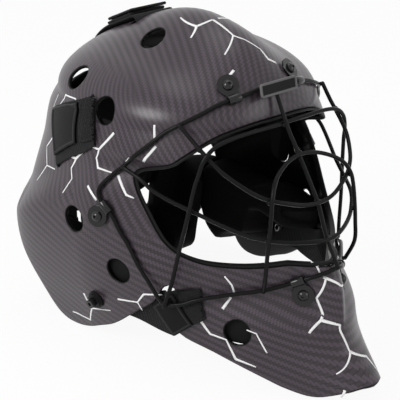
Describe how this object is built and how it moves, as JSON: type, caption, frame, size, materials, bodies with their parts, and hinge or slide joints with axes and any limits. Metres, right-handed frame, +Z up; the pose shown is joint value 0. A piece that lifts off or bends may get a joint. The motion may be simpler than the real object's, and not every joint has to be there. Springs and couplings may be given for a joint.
{
  "type": "floorball goalie helmet",
  "caption": "Moulded helmet shell with a wire face cage, a hinged rear plate, foam padding and hook-and-loop elastic straps for a floorball goalkeeper.",
  "frame": {"origin": "middle of the helmet's box on the floor, under the lowest shell edge", "axes": "+Z up; the face opening and the cage look along -Y; the wearer's right side is -X"},
  "size_m": [0.2334, 0.3399, 0.2597],
  "materials": {
    "shell": "satin",
    "trim": "satin",
    "cage_wire": "satin",
    "badge": "satin",
    "clip": "satin",
    "screw": "glossy",
    "fixing_steel": "satin",
    "washer": "glossy",
    "strap_tab": "satin",
    "hook_fabric": "matte",
    "webbing": "matte",
    "padding": "matte"
  },
  "bodies": {
    "helmet": {"main_shell": "shell", "face_trim": "trim", "cage_frame": "cage_wire", "cage_outer_arch": "cage_wire", "cage_inner_arch": "cage_wire", "cage_nose_bar": "cage_wire", "cage_belt_bar": "cage_wire", "cage_centre_bar": "cage_wire", "badge_plate": "badge", "brow_clip_right": "clip", "brow_clip_left": "clip", "side_clip_right": "clip", "side_clip_left": "clip", "chin_clip_right": "clip", "chin_clip_left": "clip", "brow_screw_right": "screw", "brow_screw_left": "screw", "side_screw_right": "screw", "side_screw_left": "screw", "chin_screw_right": "screw", "chin_screw_left": "screw", "brow_nuts": "fixing_steel", "side_nuts": "fixing_steel", "chin_nuts": "fixing_steel", "standoff_washers_right": "washer", "standoff_washers_left": "washer", "standoff_screw_right": "screw", "standoff_screw_left": "screw", "standoff_nuts": "fixing_steel", "side_strap_right": "webbing", "side_strap_left": "webbing", "side_tab_right": "strap_tab", "side_tab_left": "strap_tab", "side_hook_right": "hook_fabric", "side_hook_left": "hook_fabric", "side_band_right": "webbing", "side_band_left": "webbing", "jaw_strap_right": "webbing", "jaw_strap_left": "webbing", "jaw_tab_right": "strap_tab", "jaw_tab_left": "strap_tab", "jaw_hook_right": "hook_fabric", "jaw_hook_left": "hook_fabric", "top_strap": "webbing", "top_tab": "strap_tab", "top_hook": "hook_fabric", "forehead_pad": "padding", "crown_pad_right": "padding", "crown_pad_left": "padding", "temple_pad_right": "padding", "temple_pad_left": "padding", "cheek_pad_right": "padding", "cheek_pad_left": "padding", "chin_pad": "padding"},
    "rear_plate": {"back_plate": "shell", "back_pad": "padding", "nape_pad": "padding", "plate_rivets": "fixing_steel", "plate_strap_end": "webbing"}
  },
  "joints": [
    {"name": "rear_plate_swing", "type": "hinge", "parent": "helmet", "child": "rear_plate", "pos_m": [0, 0.158, 0.189], "axis": [1, 0, 0], "range_deg": [0, 25], "stiffness_Nm_per_rad": 0.8, "springref_deg": -5.73, "deforming": ["side_band_right", "side_band_left"]}
  ]
}
